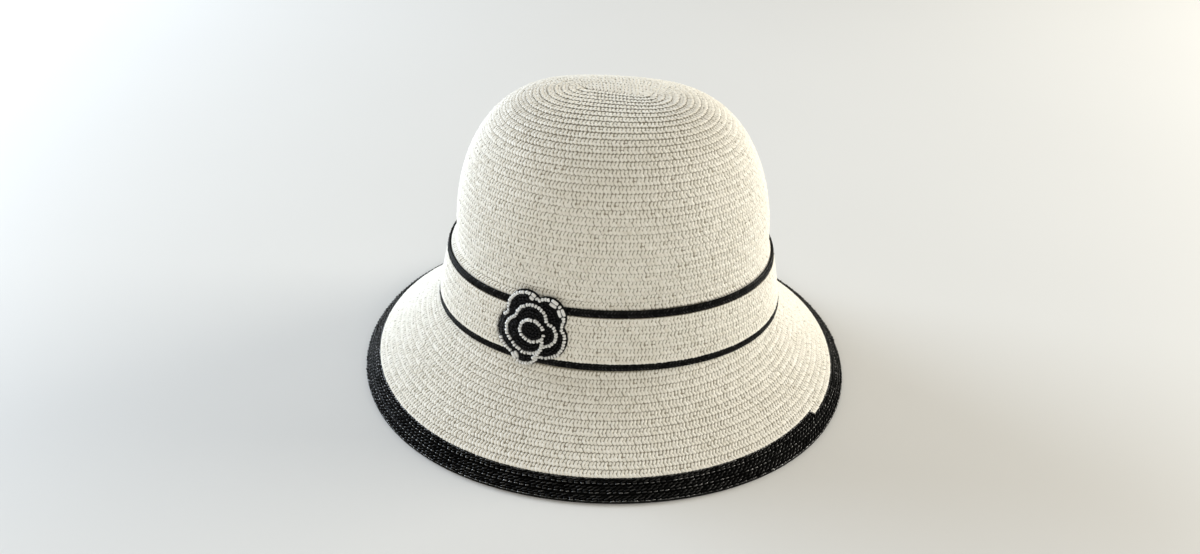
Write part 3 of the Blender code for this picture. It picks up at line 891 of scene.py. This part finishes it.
def glassFinish(name, light, shade, rough, coat, level):
    finish = Finish(name)
    cloud = finish.noise(finish.place(), 900.0)
    colour = finish.blend(finish.mark("tone") + (cloud - .5) * .5, shade, light)
    return finish.done({"Base Color": colour, "Roughness": rough + cloud * .12, "Coat Weight": coat,
                        "Coat Roughness": .06, "Specular IOR Level": level,
                        "Normal": finish.bump(cloud, .12, .0002)})


def feltFinish(name, light, shade):
    finish = Finish(name)
    wool = finish.noise(finish.place(), 2600.0, 4.0, .7)
    tuft = finish.noise(finish.place(), 500.0)
    return finish.done({"Base Color": finish.blend(wool, shade, light), "Roughness": .85 + wool * .1,
                        "Normal": finish.bump(wool * .6 + tuft, .8, .0004), "Sheen Weight": .10,
                        "Sheen Roughness": .5, "Specular IOR Level": .1})


whiteLook = {"light": (.94, .94, .92), "shade": (.72, .72, .71), "rough": .16, "coat": .2, "level": .5}
jetLook = {"light": (.003, .003, .004), "shade": (.001, .001, .001), "rough": .06, "coat": 0,
           "level": .22}
feltLook = {"light": (.010, .010, .011), "shade": (.002, .002, .002)}
whiteGlass = glassFinish("white_glass", **whiteLook)
jetGlass = glassFinish("jet_glass", **jetLook)
blackFelt = feltFinish("black_felt", **feltLook)

pad = {  # the felt's rings as shares of its outline, the last ones round its edge and under it
    "around": 200, "face": np.linspace(.004, .93, 40),
    "edge": (.955, .975, .99, 1.0, .995, .98, .5, .004), "roundOff": (.00006, .00016, .00034),
    "under": (.00018, .00004, 0, 0), "edgeShare": .45, "stepLength": .0011, "stepSink": .0003,
}


def feltRelief():
    # one soft felt pad with a low step under the rosette and under the heart
    angle = np.linspace(0, tau, pad["around"] + 1)[:-1]
    share = np.concatenate([pad["face"], pad["edge"]])
    radius = (flowerEdge(angle) + halfBead + flower["feltMargin"])[:, None] * share
    around = angle[:, None] + 0 * share
    lift = np.full(radius.shape, flowerSeat + flower["feltThickness"])
    steps = ((flowerEdge(angle), outerSeat + flower["outerPad"]),
             (rosetteEdge(angle), middleSeat + flower["middlePad"]),
             (heartRadius(angle) + flower["heartShift"] * np.cos(angle),
              centreSeat + flower["centrePad"]))
    for edge, height in steps:
        rise = ((edge[:, None] - halfBead - radius) / pad["stepLength"]).clip(0, 1)
        lift = lerp(lift, height - pad["stepSink"], rise * rise * (3 - 2 * rise))
    rim = len(share) - 5
    lift[:, rim - 3:rim] -= np.array(pad["roundOff"])
    lift[:, rim] = flowerSeat + flower["feltThickness"] * pad["edgeShare"]
    lift[:, rim + 1:] = flowerSeat + np.array(pad["under"])
    piece = addRing("felt_pad", roundFlower(around, radius, lift), np.stack([around, radius * 100], -1),
                    blackFelt, turned=True)
    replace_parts(piece, "flower_backing")


feltRelief()
petalRings = {  # long beads and the bare stretch of a petal's string by its number, in degrees
    "outer": {"petals": flower["outer"], "longest": flower["reach"], "seat": outerSeat,
              "pad": flower["outerPad"], "shift": 0.0, "inner": rosetteEdge,
              "bugles": {1: ((28, 42), (46, 62)), 2: ((84, 96),), 4: ((240, 252),)},
              "bare": {3: (168, 207)}},
    "middle": {"petals": flower["middle"], "longest": flower["rosette"], "seat": middleSeat,
               "pad": flower["middlePad"], "shift": flower["rosetteShift"], "inner": heartBeyond,
               "bugles": {}, "bare": {}},
}
share = np.linspace(0, 1, 80)
for name, ring in petalRings.items():
    inset = flower["bead"] * .15 / (ring["longest"] * .8)
    for number, petal in enumerate(ring["petals"], 1):
        angles = lerp(radians(petal[0]) + inset, radians(petal[1]) - inset, share)
        whiteString(f"{name}_string_{number}", f"{name}_beads_{number}", angles,
                    petalRadius(petal, ring["longest"], share), ring["seat"], shift=ring["shift"],
                    bugles=ring["bugles"].get(number, ()), bare=ring["bare"].get(number, (0, 0)))
angles = np.linspace(0, tau, 161)
whiteString("centre_string", "centre_beads", angles, heartRadius(angles), centreSeat, closed=True,
            shift=flower["heartShift"])

# a short tail of white beads hangs from the ring in the middle
tail = np.array([(.0090, -.0058), (.0088, -.0075), (.0086, -.0092), (.0081, -.0109), (.0075, -.0125),
                 (.0067, -.0141), (.0057, -.0155), (.0045, -.0168)])
tailCentre = flowerPoint(*tail.T, middleSeat + flower["middlePad"] + beads["tailLift"])
tailUp = flowerPoint(*tail.T, middleSeat + .01) - tailCentre
sizes = [np.full(len(tail), beads[key]) for key in ("length", "width")]
tailAxis = unit(np.gradient(tailCentre, axis=0))
tailBeads = placeBeads(seedBead, tailCentre, tailAxis, unit(tailUp), *sizes, beads["wobble"])
addMesh("bead_tail", tailBeads, whiteGlass)

for name, ring in petalRings.items():
    jetRows(name, ring)
heartParts = []
for row in range(jets["heartRows"]):
    shrink = flower["bead"] + jets["width"] + row * 2 * jets["row"]
    lift = centreSeat + flower["centrePad"] + jets["lift"]
    *places, degrees = alongOutline(angles, heartRadius(angles, shrink), lift, jets["pitch"], True,
                                    flower["heartShift"])
    sizes = [np.full(len(degrees), jets[key]) for key in ("length", "width")]
    heartParts.append(placeBeads(jetBead, *places, *sizes, jets["wobble"]))
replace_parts(joinStrands("centre_jet", heartParts, jetGlass), "flower_centre")

fuzz = {"count": 900, "half": .00006, "root": .0003, "thickAt": radians(190), "spread": .36,
        "thickShare": .55, "thickLength": .00299, "thinLength": .00091}


def fuzzStrands():
    # loose wool round the felt's edge, more of it on one side
    count = fuzz["count"]
    angle = np.where(rng.random(count) < fuzz["thickShare"],
                     rng.normal(fuzz["thickAt"], fuzz["spread"], count), rng.random(count) * tau)
    radius = flowerEdge(angle) + halfBead + flower["feltMargin"] - fuzz["root"]
    thick = np.cos(angle - fuzz["thickAt"]) > .75
    length = rng.uniform(.3, 1.0, count) * np.where(thick, fuzz["thickLength"], fuzz["thinLength"])
    lean = rng.normal(0, .5, count)
    step, side = crossed(np.linspace(0, 1, 4), (-1.0, 1.0))
    out = radius[:, None] + length[:, None] * step
    curl = lean[:, None] * length[:, None] * step ** 1.6 * 2 + side * fuzz["half"] * (1.1 - step)
    wave = rng.random(count)[:, None] * flower["feltThickness"]
    lift = flowerSeat + wave + rng.normal(.1, .25, count)[:, None] * length[:, None] * step ** 2
    points = roundFlower(angle[:, None] + curl / radius[:, None], out, lift)
    quads = many(gridQuads(4, 2), len(step), count)
    addMesh("felt_fuzz", plainPart(points, quads, 0 * points[..., :2]), blackFelt)


fuzzStrands()
print("flower sewn on")

# floor, light and camera

floorLook = {"reach": 14.0, "dark": (.72, .72, .712), "light": (.75, .75, .743)}
finish = Finish("pale_floor")
cloud = finish.noise(finish.place(), 3.0)
floorFinish = finish.done({"Base Color": finish.blend(cloud, floorLook["dark"], floorLook["light"]),
                           "Roughness": .6})
reach = floorLook["reach"]
floorMesh = bpy.data.meshes.new("floor")
floorMesh.from_pydata([(-reach, -reach, 0), (reach, -reach, 0), (reach, reach, 0), (-reach, reach, 0)],
                      [], [(0, 1, 2, 3)])
floorMesh.materials.append(floorFinish)
floor = linked("floor", floorMesh)

# the light all round is brighter beside the hat than above it
surround = {"beside": (.86, .82, .725), "above": (.11, .105, .095)}
world = bpy.data.worlds.new("surround")
scene.world = world
world.use_nodes = True
sky, links = world.node_tree.nodes, world.node_tree.links
height = sky.new("ShaderNodeSeparateXYZ")
glow = sky.new("ShaderNodeMix")
glow.data_type = "RGBA"
links.new(sky.new("ShaderNodeTexCoord").outputs["Generated"], height.inputs[0])
links.new(height.outputs["Z"], glow.inputs["Factor"])
glow.inputs[6].default_value = (*surround["beside"], 1)
glow.inputs[7].default_value = (*surround["above"], 1)
links.new(glow.outputs[2], sky["Background"].inputs["Color"])

lightTarget = Vector((0, 0, .08))
lamps = [
    {"name": "cool_side", "from": (-.85, -1.70, .72), "size": 1.15, "power": 46,
     "colour": (.77, .875, 1.0)},
    {"name": "warm_side", "from": (-.45, 1.8, .70), "size": .95, "power": 32, "colour": (1.0, .96, .86)},
    {"name": "fill", "from": (1.35, .20, 1.75), "size": 1.5, "power": 9, "colour": (1.0, .97, .91)},
]
for lamp in lamps:
    data = bpy.data.lights.new(lamp["name"], "AREA")
    data.size, data.energy, data.color = lamp["size"], lamp["power"], lamp["colour"]
    holder = linked(lamp["name"], data)
    holder.location = lamp["from"]
    holder.rotation_mode = "QUATERNION"
    holder.rotation_quaternion = (lightTarget - Vector(lamp["from"])).to_track_quat("-Z", "Y")

view = {"eye": (.5509, -.0215, .4092), "lens": 30.02, "sensor": 36, "nearest": .01,
        "right": (.010356, .999493, .030119), "up": (-.539996, -.019761, .841441),
        "back": (.84161, -.02498, .53952)}
cameraData = bpy.data.cameras.new("camera")
cameraData.lens, cameraData.sensor_width = view["lens"], view["sensor"]
cameraData.clip_start = view["nearest"]
camera = linked("camera", cameraData)
turned = Matrix((view["right"], view["up"], view["back"])).transposed().to_4x4()
turned.translation = view["eye"]
camera.matrix_world = turned
bpy.context.scene.camera = camera
scene.view_settings.view_transform = "Standard"
print("camera set")
